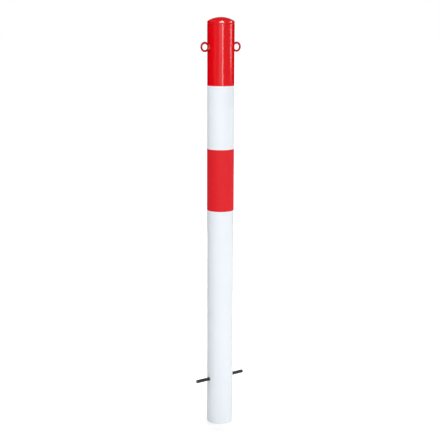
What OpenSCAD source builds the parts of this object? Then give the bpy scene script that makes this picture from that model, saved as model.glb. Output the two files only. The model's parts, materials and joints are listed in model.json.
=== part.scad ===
// Steel barrier post for setting in concrete: a capped round tube with two chain eyes,
// red and white bands, and a ribbed anchor bar across the buried end.
// The tube stands on its open end at z = 0. The eyes and the anchor bar lie along X.

/* [Post tube] */
// Outside diameter of the tube
tube_d = 76.1; // [60.3:0.1:114.3]
// Wall thickness of the tube
tube_wall = 2.6; // [2:0.1:4]
// Length of the tube, without the cap
tube_l = 1166; // [900:1:1600]
// Chamfer that breaks the edges of the open end
edge_break = 0.5; // [0.2:0.1:0.8]

/* [Paint and film] */
// Length of tube below the cap that is painted red
red_coat_l = 169; // [100:1:220]
// Length of the white stretch between the red paint and the film
white_coat_l = 177; // [100:1:220]
// Height of the reflective film band
film_h = 176; // [100:1:220]
// Thickness of the film
film_t = 0.3; // [0.2:0.05:0.6]
// Length round the tube over which the film's two ends overlap
film_lap = 14; // [6:1:30]

/* [End cap] */
// Height above the tube's end at which rim and dome would meet in an edge at full width
cap_rim_h = 6.8; // [6:0.1:8]
// Rise of the dome above that height
cap_rise = 11; // [8:0.5:14]
// Radius of the curve by which the rim leans inwards
cap_side_r = 18; // [17:0.5:26]
// Radius that rounds the shoulder between rim and dome
cap_shoulder_r = 2.5; // [1.5:0.1:3.5]
// Thickness of the cap's sheet
cap_t = 3; // [2:0.1:3.5]
// Depth of the chamfers on tube and cap that form the seam's groove
seam_depth = 1.4; // [0.8:0.1:1.8]
// Depth of the seam's edges below the tube's surface
seam_sink = 0.5; // [0.2:0.05:0.7]
// Bulge of the seam between its edges
seam_crown = 0.2; // [0.1:0.05:0.5]

/* [Chain eyes] */
// Diameter of the bar that the eyes are bent from
eye_bar_d = 6; // [5:0.5:10]
// Free width inside an eye
eye_hole_d = 16.4; // [12:0.2:30]
// Distance from the tube's upper end down to the middle of the eyes
eye_drop = 63; // [40:1:100]
// Root gap between eye and tube that the weld fills
eye_root_gap = 0.3; // [0.2:0.1:1]
// Height of the eye weld along the tube
eye_weld_h = 17; // [12:1:20]
// Radius of the eye weld's bead
eye_weld_r = 4; // [3.4:0.1:5]

/* [Anchor bar] */
// Diameter of the bar between its ribs
bar_core_d = 9.2; // [7:0.1:14]
// Length of the bar
bar_l = 162; // [130:1:300]
// Height of the bar's axis above the open end
bar_rise = 136; // [60:1:300]
// Height of the slanted ribs above the core
rib_h = 0.7; // [0.4:0.1:1.2]
// Width of a rib's crest
rib_crest = 0.8; // [0.5:0.1:1.2]
// Distance between ribs along the bar
rib_pitch = 6.5; // [5:0.5:10]
// Slant of the ribs against the bar's cross-section
rib_slant = 35; // [20:1:45]
// Height of the two lengthwise ribs above the core
long_rib_h = 0.5; // [0.3:0.1:1]
// Width of the two lengthwise ribs
long_rib_w = 1.5; // [1:0.1:2]
// Clearance all round between the bar's ribs and the holes in the tube
bar_play = 0.3; // [0.2:0.05:1]

/* [Hidden] */
$fn = 96;

coat_red = [0.86, 0.09, 0.10];
coat_white = [0.93, 0.95, 0.98];
film_red = [0.88, 0.15, 0.17];
bare_steel = [0.24, 0.24, 0.23];

// Cuts run this far past the faces that they open
cut_over = 1;

tube_r = tube_d / 2;
tube_bore_r = tube_r - tube_wall;
red_coat_z = tube_l - red_coat_l;
film_z = red_coat_z - white_coat_l - film_h;
film_lap_turn = film_lap / tube_r * 180 / PI;

// Points of the cap's half section, from the axis outwards and up from the tube's end
dome_r = (tube_r * tube_r + cap_rise * cap_rise) / (2 * cap_rise);
dome_centre = [0, cap_rim_h + cap_rise - dome_r];
side_centre = [tube_r - cap_side_r, seam_depth];
shoulder_centre = meeting_point(
    side_centre, cap_side_r - cap_shoulder_r,
    dome_centre, dome_r - cap_shoulder_r
);
// Points out beyond the surface where the shoulder runs into the rim and into the dome
beyond_side = side_centre + (shoulder_centre - side_centre) * 1.5;
beyond_dome = dome_centre + (shoulder_centre - dome_centre) * 1.5;

// Half the height of the seam's face, and the radius of its bulge
seam_half = seam_depth - seam_sink;
seam_arc_r = (seam_half * seam_half + seam_crown * seam_crown) / (2 * seam_crown);

eye_bar_r = eye_bar_d / 2;
eye_ring_r = eye_hole_d / 2 + eye_bar_r;
eye_x = tube_r + eye_root_gap + eye_bar_r + eye_ring_r;
eye_z = tube_l - eye_drop;

bar_core_r = bar_core_d / 2;
bar_hole_r = bar_core_r + max(rib_h, long_rib_h) + bar_play;
// The slanted ribs are discs set off the bar's axis, so that they run out in crescents
rib_offset = 0.1 * bar_core_r;
rib_r = bar_core_r + rib_h + rib_offset;
rib_root_r = bar_core_r * 0.7;
rib_flank = 40;
rib_root_w = rib_crest + 2 * (rib_r - rib_root_r) * tan(rib_flank);
rib_count = floor(bar_l / rib_pitch) - 1;

// Where a circle of radius r1 round p meets one of radius r2 round q, on the side that lies
// to the left of the way from p to q
function meeting_point(p, r1, q, r2) =
    let (
        d = norm(q - p),
        way = (q - p) / d,
        along = (r1 * r1 - r2 * r2 + d * d) / (2 * d),
        aside = sqrt(r1 * r1 - along * along)
    )
    p + along * way + aside * [-way[1], way[0]];

// Drawn tube with its lower edges broken and its upper edge chamfered for the seam
module tube_blank() {
    rotate_extrude()
        polygon([
            [tube_bore_r + edge_break, 0],
            [tube_r - edge_break, 0],
            [tube_r, edge_break],
            [tube_r, tube_l - seam_depth],
            [tube_r - seam_depth, tube_l],
            [tube_bore_r, tube_l],
            [tube_bore_r, edge_break]
        ]);
}

// The part of the tube between two heights
module tube_stretch(low, high) {
    intersection() {
        tube_blank();
        translate([0, 0, low])
            cylinder(r = tube_r + cut_over, h = high - low);
    }
}

module post_tube() {
    difference() {
        union() {
            color(coat_white) tube_stretch(0, red_coat_z);
            color(coat_red) tube_stretch(red_coat_z, tube_l);
        }
        color(coat_white)
            translate([0, 0, bar_rise])
                rotate([0, 90, 0])
                    cylinder(r = bar_hole_r, h = tube_d + 2 * cut_over, center = true);
    }
}

// Half section of the cap's outer form: a core, and on it three arcs that run into each other
module cap_outline() {
    polygon([
        [0, 0],
        [tube_r - seam_depth, 0],
        [tube_r, seam_depth],
        shoulder_centre,
        [0, shoulder_centre[1]]
    ]);
    // The rim, which leans inwards more and more
    intersection() {
        translate(side_centre) circle(r = cap_side_r);
        polygon([side_centre, [tube_r + cut_over, seam_depth], beyond_side]);
    }
    // The rounded shoulder
    intersection() {
        translate(shoulder_centre) circle(r = cap_shoulder_r);
        polygon([
            shoulder_centre,
            beyond_side,
            beyond_side + beyond_dome - shoulder_centre,
            beyond_dome
        ]);
    }
    // The dome
    intersection() {
        translate(dome_centre) circle(r = dome_r);
        polygon([
            [0, shoulder_centre[1]],
            shoulder_centre,
            beyond_dome,
            [0, beyond_dome[1]]
        ]);
    }
}

// Half section of the hollow under the dome
module cap_hollow() {
    intersection() {
        translate(dome_centre) circle(r = dome_r - cap_t);
        translate([0, -cut_over]) square([tube_r - cap_t, cap_rim_h + cap_rise + cut_over]);
    }
}

module end_cap() {
    color(coat_red)
        translate([0, 0, tube_l])
            rotate_extrude()
                difference() {
                    cap_outline();
                    cap_hollow();
                }
}

// Seam between tube and cap: it fills the groove of the two chamfers, short of their outer edges
module cap_weld() {
    color(coat_red)
        translate([0, 0, tube_l])
            rotate_extrude()
                intersection() {
                    translate([tube_r - seam_sink + seam_crown - seam_arc_r, 0])
                        circle(r = seam_arc_r);
                    polygon([
                        [tube_r - seam_depth, 0],
                        [tube_r, -seam_depth],
                        [tube_r, seam_depth]
                    ]);
                }
}

// Film wrapped once round the tube, with its ends lapped at the back
module reflective_band() {
    color(film_red)
        translate([0, 0, film_z]) {
            difference() {
                cylinder(r = tube_r + film_t, h = film_h);
                translate([0, 0, -cut_over]) cylinder(r = tube_r, h = film_h + 2 * cut_over);
            }
            rotate([0, 0, 90 - film_lap_turn / 2])
                rotate_extrude(angle = film_lap_turn)
                    translate([tube_r + film_t / 2, 0])
                        square([film_t * 1.5, film_h]);
        }
}

// A torus round the middle of an eye, on the side given by 1 or -1
module eye_torus(side, ring_r, bar_r) {
    translate([side * eye_x, 0, eye_z])
        rotate([90, 0, 0])
            rotate_extrude()
                translate([ring_r, 0])
                    circle(r = bar_r);
}

module chain_eye(side) {
    color(coat_red) eye_torus(side, eye_ring_r, eye_bar_r);
}

// Bead that follows the eye round its root and fills the crease against the tube
module eye_weld(side) {
    color(coat_red)
        difference() {
            intersection() {
                eye_torus(side, eye_x - tube_r, eye_weld_r);
                translate([side * tube_r, 0, eye_z]) sphere(d = eye_weld_h);
            }
            translate([0, 0, eye_z - eye_weld_h]) cylinder(r = tube_r, h = 2 * eye_weld_h);
            eye_torus(side, eye_ring_r, eye_bar_r);
        }
}

module chain_eye_left() {
    chain_eye(-1);
}

module chain_eye_right() {
    chain_eye(1);
}

module eye_weld_left() {
    eye_weld(-1);
}

module eye_weld_right() {
    eye_weld(1);
}

// One crescent rib on the +X side of an upright bar
module crescent_rib() {
    translate([-rib_offset, 0, 0])
        rotate([rib_slant, 0, 0])
            rotate([0, 0, -90])
                rotate_extrude(angle = 180)
                    polygon([
                        [rib_root_r, -rib_root_w / 2],
                        [rib_r, -rib_crest / 2],
                        [rib_r, rib_crest / 2],
                        [rib_root_r, rib_root_w / 2]
                    ]);
}

// A row of crescent ribs along one side of an upright bar, centred on its middle
module rib_row(shift) {
    for (i = [0 : rib_count - 1])
        translate([0, 0, (i - (rib_count - 1) / 2) * rib_pitch + shift])
            crescent_rib();
}

// Ribbed bar standing upright, centred on its middle: two rows of slanted ribs, half a pitch
// apart, between two lengthwise ribs
module ribbed_bar() {
    cylinder(r = bar_core_r, h = bar_l, center = true);
    cube([long_rib_w, 2 * (bar_core_r + long_rib_h), bar_l], center = true);
    rib_row(-rib_pitch / 4);
    rotate([0, 0, 180]) rib_row(rib_pitch / 4);
}

module anchor_bar() {
    color(bare_steel)
        translate([0, 0, bar_rise])
            rotate([0, 90, 0])
                rotate([0, 0, 90])
                    ribbed_bar();
}

post_tube();
end_cap();
cap_weld();
reflective_band();
chain_eye_left();
chain_eye_right();
eye_weld_left();
eye_weld_right();
anchor_bar();
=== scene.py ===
"""Looks of the barrier post: powder coat, reflective film and ribbed steel in a white studio."""
import json
import math

import bpy
from mathutils import Matrix, Vector


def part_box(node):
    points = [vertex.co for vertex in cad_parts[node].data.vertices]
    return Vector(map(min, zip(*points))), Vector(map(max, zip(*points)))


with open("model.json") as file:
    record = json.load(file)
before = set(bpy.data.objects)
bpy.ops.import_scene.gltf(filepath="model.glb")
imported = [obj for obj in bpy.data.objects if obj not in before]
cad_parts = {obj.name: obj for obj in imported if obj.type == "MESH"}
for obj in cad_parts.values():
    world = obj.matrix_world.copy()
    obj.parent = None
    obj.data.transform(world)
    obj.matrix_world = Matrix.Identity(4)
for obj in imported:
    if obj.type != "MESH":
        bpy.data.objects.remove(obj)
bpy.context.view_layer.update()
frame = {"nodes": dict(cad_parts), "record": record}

# Sizes of the post, in metres, from the frame
TUBE_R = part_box("post_tube")[1].x
TUBE_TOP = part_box("post_tube")[1].z
BAR_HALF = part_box("anchor_bar")[1].x
# Wall of the tube and length of its red coat, which the frame doesn't hold
WALL = 0.0026
RED_COAT = 0.169
RED_FROM = TUBE_TOP - RED_COAT
BORE_R = TUBE_R - WALL
# A surface this near to the bore counts as the inside of the tube, and one this near to the
# bar's end as sawn
BORE_MARGIN = 0.0003
SAWN_DEPTH = 0.0002

# The photograph's camera: it stands off the post's left front, a little below the cap
CAMERA_AZIMUTH = -33.3
CAMERA_DISTANCE = 2.546
CAMERA_HEIGHT = 1.1473
CAMERA_ASIDE = -0.0008
CAMERA_PITCH = 11.85
CAMERA_ROLL = 0.19
CAMERA_LENS = 73.89

# Finishes, as linear colours
RED = (0.77, 0.001, 0.0055, 1)
WHITE = (0.80, 0.848, 0.890, 1)
FILM_RED = (0.72, 0.0085, 0.015, 1)
FILM_SHEEN = (1.0, 0.06, 0.08, 1)
PRIMER = (0.26, 0.265, 0.27, 1)
STEEL = (0.03, 0.029, 0.028, 1)

# Noise runs from 0 to 1 but mostly stays between these values
NOISE_RANGE = (0.3, 0.7)
# Roughness of the finishes at the two ends of that range
RED_GLOSS = (0.10, 0.16)
WHITE_GLOSS = (0.55, 0.62)
EYE_GLOSS = (0.34, 0.42)
WELD_GLOSS = (0.5, 0.38)
FILM_GLOSS = (0.62, 0.7)
SCALE_GLOSS = (0.4, 0.6)
# Specular level of the dusty coat on eyes and welds
DUSTY_SPECULAR = 0.25

# The red coat's lower edge wanders by this much, and blurs from a little below its line to as
# much above it
EDGE_WANDER = 0.0003
EDGE_BELOW = 0.0001
# The white coat reaches into the open end of the tube and thins out between these heights
COAT_REACH = (0.004, 0.03)

# Lamps round and over the post: azimuth from the camera, distance, lower and upper edge, width,
# brightness, height aimed at, and whether they light the post, show in its gloss, or both
LAMPS = {
    "strip": (15.5, 2.0, 0.75, 1.25, 0.30, 7.0, 1.0, "gloss"),
    "plateau": (-3, 2.0, 0.75, 1.30, 0.85, 0.73, 1.0, "gloss"),
    "second": (93, 1.5, 1.0, 1.9, 0.37, 4.3, 1.4, "both"),
    "rim_key": (9, 1.4, 1.27, 2.05, 0.86, 16.0, 1.17, "gloss"),
    "rim_second": (94, 1.4, 1.27, 2.3, 0.36, 4.7, 1.17, "gloss"),
    "left_near": (-60, 0.9, 0.95, 1.5, 0.4, 4.3, 1.05, "light"),
    "low_front": (30, 2.0, 0.02, 0.7, 0.9, 4.8, 0.4, "light"),
    "low_wide": (0, 2.0, 0.02, 0.9, 1.6, 3.0, 0.3, "light"),
    "side_fill": (100, 2.0, 0.1, 1.2, 0.8, 2.5, 0.6, "light"),
    "over_cap": (0, 0.03, 1.45, 1.55, 0.1, 20.0, 1.18, "light"),
    "back_left": (-168, 2.2, 0.2, 2.6, 1.6, 1.7, 0.5, "light"),
    "back_right": (168, 2.2, 0.2, 2.6, 1.6, 1.7, 0.5, "light"),
}
WORLD_FILL = 0.35

# Cards that the sides of the post mirror: azimuths from the camera between which they stand,
# distance, lower and upper edge, brightness
SIDE_CARDS = {
    "card_front": (-55, 112, 2.6, 0.0, 3.2, 0.3),
    "card_left": (-55, -170, 1.2, 0.0, 1.6, 0.0),
    "card_right": (112, 165, 1.2, 0.0, 2.2, 0.0),
}
# Black card that leans over the post from behind: distance of its lower edge, share of that
# distance at its upper edge, lower and upper edge, width
ROOF_CARD = (1.5, 0.3, 1.22, 3.6, 3.4)
# Collar round the cap that the dome mirrors in place of the lamps, whose glare would wipe out
# its outline: azimuths from the camera and brightness of its two halves
COLLAR = {"collar_front": (-90, 90, 0.45), "collar_back": (90, 270, 0.07)}
COLLAR_R = 0.06
COLLAR_LOW = 1.187
COLLAR_HIGH = 1.32
# Flat strips that a curved card is made of
CARD_STRIPS = 12

# The floor, a little under the foot, and what direct rays see added to its lit white: the
# added brightness grows between two distances from the post's axis
FLOOR_SIZE = 120
FLOOR_DROP = 0.0005
FLOOR_WHITE = (0.8, 0.8, 0.8, 1)
LIFT_FROM = 0.08
LIFT_TO = 0.6
FLOOR_LIFT_NEAR = 0.37
FLOOR_LIFT_FAR = 1.0


def side_point(azimuth, distance, height):
    """A point round the post. Azimuth 0 is at -Y and 90 at +X, as for the camera."""
    turn = math.radians(azimuth)
    return Vector((math.sin(turn) * distance, -math.cos(turn) * distance, height))


def make_camera():
    camera = bpy.data.objects.new("camera", bpy.data.cameras.new("camera"))
    bpy.context.scene.collection.objects.link(camera)
    camera.data.lens = CAMERA_LENS
    turn = Matrix.Rotation(math.radians(CAMERA_AZIMUTH), 4, "Z")
    tilt = Matrix.Rotation(math.radians(90 - CAMERA_PITCH), 4, "X")
    roll = Matrix.Rotation(math.radians(CAMERA_ROLL), 4, "Z")
    place = Matrix.Translation((CAMERA_ASIDE, -CAMERA_DISTANCE, CAMERA_HEIGHT))
    camera.matrix_world = turn @ place @ tilt @ roll
    bpy.context.scene.camera = camera


class Nodes:
    """Short names for the shader nodes of one material."""

    def __init__(self, name):
        self.material = bpy.data.materials.new(name)
        self.material.use_nodes = True
        self.tree = self.material.node_tree
        self.shader = self.tree.nodes["Principled BSDF"]
        self.position = self.add("ShaderNodeTexCoord").outputs["Object"]

    def add(self, kind, **settings):
        node = self.tree.nodes.new(kind)
        for key, value in settings.items():
            setattr(node, key, value)
        return node

    def link(self, source, socket):
        self.tree.links.new(source, socket)

    def feed(self, socket, value):
        if isinstance(value, bpy.types.NodeSocket):
            self.link(value, socket)
        else:
            socket.default_value = value

    def maths(self, operation, a, b=0.0, c=0.0):
        node = self.add("ShaderNodeMath", operation=operation)
        for socket, value in zip(node.inputs, (a, b, c)):
            self.feed(socket, value)
        return node.outputs[0]

    def noise(self, size, detail=2.0, place=None):
        """Noise whose lumps are about size metres wide, from 0 to 1."""
        node = self.add("ShaderNodeTexNoise")
        node.inputs["Scale"].default_value = 1.0 / size
        node.inputs["Detail"].default_value = detail
        self.link(place or self.position, node.inputs["Vector"])
        return node.outputs["Fac"]

    def stretched(self, scale):
        """The position with each axis scaled, for marks that run one way."""
        node = self.add("ShaderNodeMapping")
        node.inputs["Scale"].default_value = scale
        self.link(self.position, node.inputs["Vector"])
        return node.outputs["Vector"]

    def span(self, value, low, high, to_low=0.0, to_high=1.0):
        node = self.add("ShaderNodeMapRange")
        for socket, number in zip(node.inputs[:5], (value, low, high, to_low, to_high)):
            self.feed(socket, number)
        return node.outputs[0]

    def mix(self, share, a, b):
        node = self.add("ShaderNodeMix", data_type="RGBA")
        self.feed(node.inputs["Factor"], share)
        self.feed(node.inputs[6], a)
        self.feed(node.inputs[7], b)
        return node.outputs[2]

    def axes(self):
        node = self.add("ShaderNodeSeparateXYZ")
        self.link(self.position, node.inputs[0])
        return node.outputs

    def from_axis(self):
        """Distance from the post's upright axis."""
        x, y, _ = self.axes()
        across = self.add("ShaderNodeCombineXYZ")
        self.link(x, across.inputs[0])
        self.link(y, across.inputs[1])
        length = self.add("ShaderNodeVectorMath", operation="LENGTH")
        self.link(across.outputs[0], length.inputs[0])
        return length.outputs["Value"]

    def bump(self, height, depth):
        """Adds a relief of that depth in metres to the shader's normal."""
        node = self.add("ShaderNodeBump")
        node.inputs["Distance"].default_value = depth
        self.link(height, node.inputs["Height"])
        normal = self.shader.inputs["Normal"]
        if normal.is_linked:
            self.link(normal.links[0].from_socket, node.inputs["Normal"])
        self.link(node.outputs[0], normal)

    def set(self, **values):
        for name, value in values.items():
            self.feed(self.shader.inputs[name.replace("_", " ")], value)


def shade(colour, factor):
    return tuple(part * factor for part in colour[:3]) + (1,)


def powder_coat(nodes, colour, roughness):
    """Sprayed and baked coat: its tone and its roughness, both a little cloudy."""
    clouds = nodes.noise(0.05, detail=3.0)
    tone = nodes.mix(nodes.span(clouds, *NOISE_RANGE), shade(colour, 0.985), colour)
    gloss = nodes.span(nodes.noise(0.012, detail=3.0), *NOISE_RANGE, *roughness)
    return tone, gloss


def orange_peel(nodes):
    """Shallow waves of the coat, about 2 mm wide, and a finer grain on them."""
    nodes.bump(nodes.noise(0.0022, detail=1.0), 0.00001)
    nodes.bump(nodes.noise(0.0005, detail=1.0), 0.000003)


def cap_coat():
    nodes = Nodes("cap_red_coat")
    tone, gloss = powder_coat(nodes, RED, RED_GLOSS)
    orange_peel(nodes)
    nodes.set(Base_Color=tone, Roughness=gloss)
    return nodes.material


def shaded_eye_coat():
    """The same red, darkened as painted shade on the bent bar of the eyes, and duller there."""
    nodes = Nodes("eye_red_coat_painted_shade")
    # Painted shade: the eyes get a darker copy of the red, standing in for the shade they lie in
    tone, gloss = powder_coat(nodes, shade(RED, 0.6), EYE_GLOSS)
    orange_peel(nodes)
    nodes.set(Base_Color=tone, Roughness=gloss)
    nodes.shader.inputs["Specular IOR Level"].default_value = DUSTY_SPECULAR
    return nodes.material


def shaded_weld_coat():
    """Red coat over a weld: the bead's ripples show through, a darker copy of the red paints shade
    over the bead, darkest in its hollows, and the hollows are rougher.
    """
    nodes = Nodes("weld_red_coat_painted_shade")
    ripples = nodes.noise(0.0016, detail=2.0)
    # Painted shade: the red drops to 0.7 in the ripples' hollows and is 0.9 on their crests
    tone = nodes.mix(nodes.span(ripples, 0.35, 0.6), shade(RED, 0.7), shade(RED, 0.9))
    nodes.bump(ripples, 0.00012)
    nodes.set(Base_Color=tone, Roughness=nodes.span(ripples, *NOISE_RANGE, *WELD_GLOSS))
    nodes.shader.inputs["Specular IOR Level"].default_value = DUSTY_SPECULAR
    return nodes.material


def tube_coat():
    """White coat with the red one over its upper stretch, and bare primer inside the tube."""
    nodes = Nodes("tube_coat")
    white, white_gloss = powder_coat(nodes, WHITE, WHITE_GLOSS)
    red, red_gloss = powder_coat(nodes, RED, RED_GLOSS)
    orange_peel(nodes)
    height = nodes.axes()[2]
    ragged = nodes.maths("MULTIPLY_ADD", nodes.noise(0.004), EDGE_WANDER, height)
    is_red = nodes.span(ragged, RED_FROM - EDGE_BELOW, RED_FROM + EDGE_WANDER)
    coat = nodes.mix(is_red, white, red)
    gloss = nodes.span(is_red, 0, 1, white_gloss, red_gloss)
    inside = nodes.maths("LESS_THAN", nodes.from_axis(), BORE_R + BORE_MARGIN)
    bare = nodes.maths("MULTIPLY", inside, nodes.span(height, *COAT_REACH))
    nodes.set(Base_Color=nodes.mix(bare, coat, PRIMER), Roughness=gloss)
    return nodes.material


def film():
    """Beaded reflective film: flat in daylight, with a fine grain."""
    nodes = Nodes("band_film")
    grain = nodes.noise(0.0006, detail=2.0)
    tone = nodes.mix(nodes.span(grain, 0.35, 0.65), shade(FILM_RED, 0.95), FILM_RED)
    nodes.set(Base_Color=tone)
    nodes.set(Roughness=nodes.span(nodes.noise(0.02), *NOISE_RANGE, *FILM_GLOSS))
    shader = nodes.shader
    shader.inputs["Specular IOR Level"].default_value = 0.2
    shader.inputs["Sheen Weight"].default_value = 0.3
    shader.inputs["Sheen Roughness"].default_value = 0.5
    shader.inputs["Sheen Tint"].default_value = FILM_SHEEN
    nodes.bump(grain, 0.00001)
    return nodes.material


def bar_steel():
    """Hot-rolled bar: blotched dark mill scale, and brighter ends where it was sawn off."""
    nodes = Nodes("bar_mill_scale")
    blotches = nodes.noise(0.003, detail=4.0)
    scale = nodes.mix(nodes.span(blotches, 0.35, 0.7), shade(STEEL, 0.6), shade(STEEL, 1.8))
    x = nodes.axes()[0]
    sawn = nodes.maths("GREATER_THAN", nodes.maths("ABSOLUTE", x), BAR_HALF - SAWN_DEPTH)
    saw_marks = nodes.noise(0.0006, place=nodes.stretched((1, 0.1, 1)))
    cut_tone = nodes.mix(saw_marks, shade(STEEL, 3), shade(STEEL, 6))
    nodes.set(Base_Color=nodes.mix(sawn, scale, cut_tone), Metallic=0.5)
    nodes.set(Roughness=nodes.span(nodes.noise(0.002), *NOISE_RANGE, *SCALE_GLOSS))
    nodes.bump(nodes.noise(0.0008, detail=3.0), 0.00008)
    return nodes.material


def dress():
    """Gives each solid its finish: by its material slot, or by its own name."""
    by_slot = {
        "red_coat": cap_coat(), "white_coat": tube_coat(),
        "red_film": film(), "ribbed_steel": bar_steel(),
    }
    eye, weld = shaded_eye_coat(), shaded_weld_coat()
    by_node = {
        "chain_eye_left": eye, "chain_eye_right": eye,
        "eye_weld_left": weld, "eye_weld_right": weld, "cap_weld": weld,
    }
    slots = {part["node"]: part["material_slot"] for part in frame["record"]["subparts"]}
    for name, piece in frame["nodes"].items():
        for slot in piece.material_slots:
            slot.material = by_node.get(name, by_slot[slots[name]])


def softbox(name, azimuth, distance, low, high, width, radiance, aim_height):
    """An area lamp turned to the post's axis, with its brightness per area given."""
    lamp = bpy.data.objects.new(name, bpy.data.lights.new(name, "AREA"))
    bpy.context.scene.collection.objects.link(lamp)
    height = high - low
    lamp.data.shape = "RECTANGLE"
    lamp.data.size = width
    lamp.data.size_y = height
    lamp.data.energy = radiance * math.pi * width * height
    place = side_point(azimuth, distance, (low + high) / 2)
    lamp.location = place
    aim = Vector((0, 0, aim_height)) - place
    lamp.rotation_euler = aim.to_track_quat("-Z", "Y").to_euler()
    lamp.visible_camera = False
    return lamp


def make_lamps():
    for name, (azimuth, *measures, use) in LAMPS.items():
        lamp = softbox(name, CAMERA_AZIMUTH + azimuth, *measures)
        lamp.visible_diffuse = use != "gloss"
        lamp.visible_glossy = use != "light"


def reflection_card(name, corners, faces, glow):
    """A board that only reflections see: it shapes the highlights and takes no light away."""
    mesh = bpy.data.meshes.new(name)
    mesh.from_pydata(corners, [], faces)
    card = bpy.data.objects.new(name, mesh)
    bpy.context.scene.collection.objects.link(card)
    material = bpy.data.materials.new(name)
    material.use_nodes = True
    tree = material.node_tree
    tree.nodes.clear()
    paint = tree.nodes.new("ShaderNodeEmission")
    paint.inputs["Strength"].default_value = glow
    output = tree.nodes.new("ShaderNodeOutputMaterial")
    tree.links.new(paint.outputs[0], output.inputs["Surface"])
    mesh.materials.append(material)
    card.visible_camera = card.visible_diffuse = card.visible_shadow = False


def curved_card(name, start, end, distance, low, high, glow):
    """An upright card bent round the post, between two azimuths from the camera."""
    corners, faces = [], []
    for step in range(CARD_STRIPS + 1):
        azimuth = CAMERA_AZIMUTH + start + (end - start) * step / CARD_STRIPS
        corners += [side_point(azimuth, distance, low), side_point(azimuth, distance, high)]
        if step:
            faces.append((2 * step - 2, 2 * step, 2 * step + 1, 2 * step - 1))
    reflection_card(name, corners, faces, glow)


def roof_card(name, distance, upper_share, low, high, width):
    """A black card that leans from behind the post up over it."""
    aside = side_point(CAMERA_AZIMUTH + 270, width / 2, 0)
    lower = side_point(CAMERA_AZIMUTH + 180, distance, low)
    upper = side_point(CAMERA_AZIMUTH + 180, distance * upper_share, high)
    corners = [lower - aside, lower + aside, upper + aside, upper - aside]
    reflection_card(name, corners, [(0, 1, 2, 3)], 0.0)


def make_cards():
    for name, measures in SIDE_CARDS.items():
        curved_card(name, *measures)
    roof_card("card_back", *ROOF_CARD)
    for name, (start, end, glow) in COLLAR.items():
        curved_card(name, start, end, COLLAR_R, COLLAR_LOW, COLLAR_HIGH, glow)


def direct_rays(tree):
    """1 for rays that look at the surroundings, straight or in a mirror, and 0 for their light."""
    rays = tree.nodes.new("ShaderNodeLightPath")
    share = rays.outputs["Is Camera Ray"]
    for kind in ("Is Glossy Ray", "Is Transmission Ray"):
        either = tree.nodes.new("ShaderNodeMath")
        either.operation = "MAXIMUM"
        tree.links.new(share, either.inputs[0])
        tree.links.new(rays.outputs[kind], either.inputs[1])
        share = either.outputs[0]
    return share


def make_world():
    """White surroundings for direct rays, which light the post only faintly."""
    world = bpy.data.worlds.new("studio")
    world.use_nodes = True
    tree = world.node_tree
    tree.nodes.clear()
    seen = tree.nodes.new("ShaderNodeBackground")
    seen.inputs["Color"].default_value = (1, 1, 1, 1)
    fill = tree.nodes.new("ShaderNodeBackground")
    fill.inputs["Color"].default_value = (1, 1, 1, 1)
    fill.inputs["Strength"].default_value = WORLD_FILL
    blend = tree.nodes.new("ShaderNodeMixShader")
    tree.links.new(direct_rays(tree), blend.inputs[0])
    tree.links.new(fill.outputs[0], blend.inputs[1])
    tree.links.new(seen.outputs[0], blend.inputs[2])
    output = tree.nodes.new("ShaderNodeOutputWorld")
    tree.links.new(blend.outputs[0], output.inputs["Surface"])
    bpy.context.scene.world = world


def make_floor():
    """White floor that keeps the post's shadow by the foot and is plain white further off."""
    bpy.ops.mesh.primitive_plane_add(size=FLOOR_SIZE, location=(0, 0, -FLOOR_DROP))
    floor = bpy.context.object
    floor.name = "floor"
    nodes = Nodes("floor")
    tree = nodes.tree
    tree.nodes.remove(nodes.shader)
    matt = nodes.add("ShaderNodeBsdfDiffuse")
    matt.inputs["Color"].default_value = FLOOR_WHITE
    lift = nodes.add("ShaderNodeEmission")
    amount = nodes.span(nodes.from_axis(), LIFT_FROM, LIFT_TO, FLOOR_LIFT_NEAR, FLOOR_LIFT_FAR)
    nodes.link(nodes.maths("MULTIPLY", amount, direct_rays(tree)), lift.inputs["Strength"])
    both = nodes.add("ShaderNodeAddShader")
    nodes.link(matt.outputs[0], both.inputs[0])
    nodes.link(lift.outputs[0], both.inputs[1])
    nodes.link(both.outputs[0], tree.nodes["Material Output"].inputs["Surface"])
    floor.data.materials.append(nodes.material)


make_camera()
dress()
make_world()
make_lamps()
make_cards()
make_floor()
bpy.context.scene.view_settings.view_transform = "Standard"
